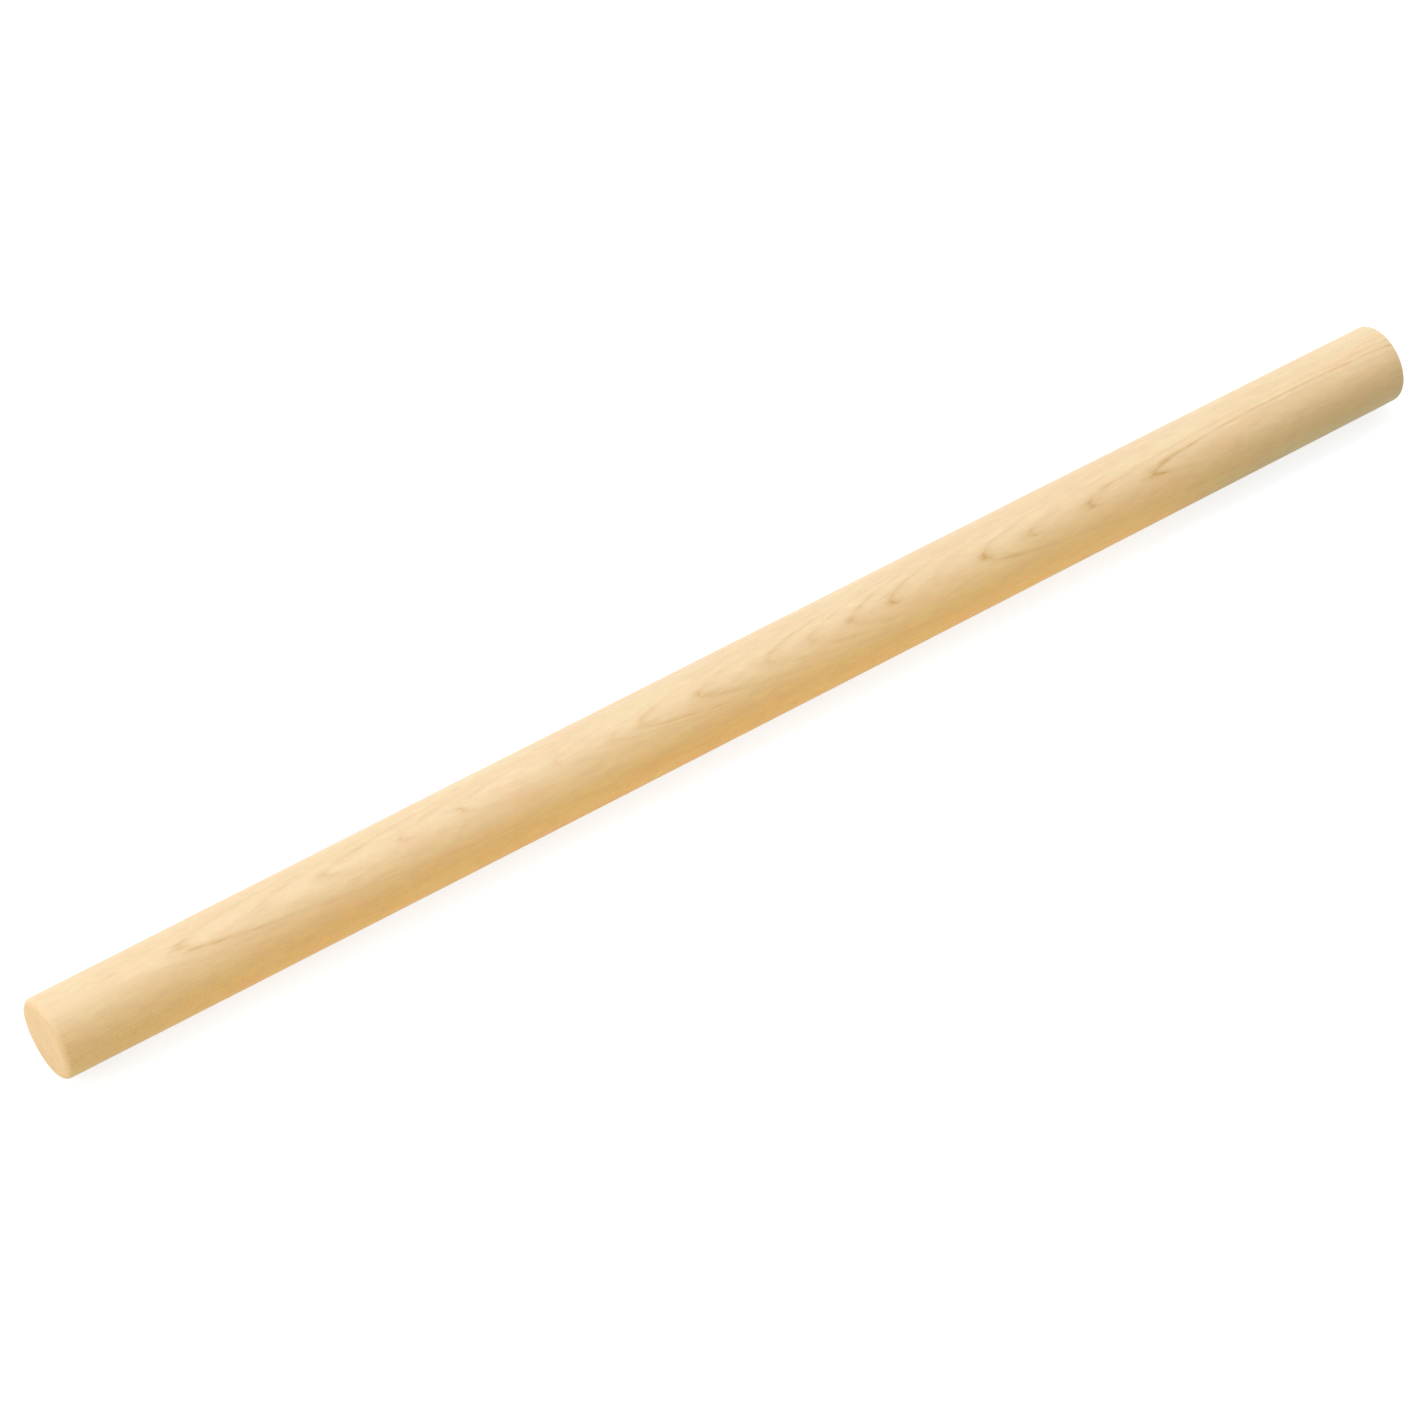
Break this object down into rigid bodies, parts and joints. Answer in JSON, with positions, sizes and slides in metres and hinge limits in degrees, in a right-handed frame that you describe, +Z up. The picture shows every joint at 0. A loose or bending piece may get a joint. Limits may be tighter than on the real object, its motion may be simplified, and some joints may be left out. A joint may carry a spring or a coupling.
{
  "type": "french rolling pin",
  "caption": "Straight handle-less rolling pin turned from one stick of pale hardwood, with flat end faces and rounded edges, for rolling out dough.",
  "frame": {"origin": "middle of the pin, on its turning axis", "axes": "+X along the turning axis, towards the right end; +Z up with the pin lying level as in use; +Y away from the user, across the pin"},
  "size_m": [0.6, 0.032, 0.032],
  "materials": {
    "pale_hardwood": "bare, fine-sanded pale hardwood with faint growth-ring figure and a soft satin sheen"
  },
  "bodies": {
    "root": {"rolling_pin": "pale_hardwood"}
  },
  "joints": []
}
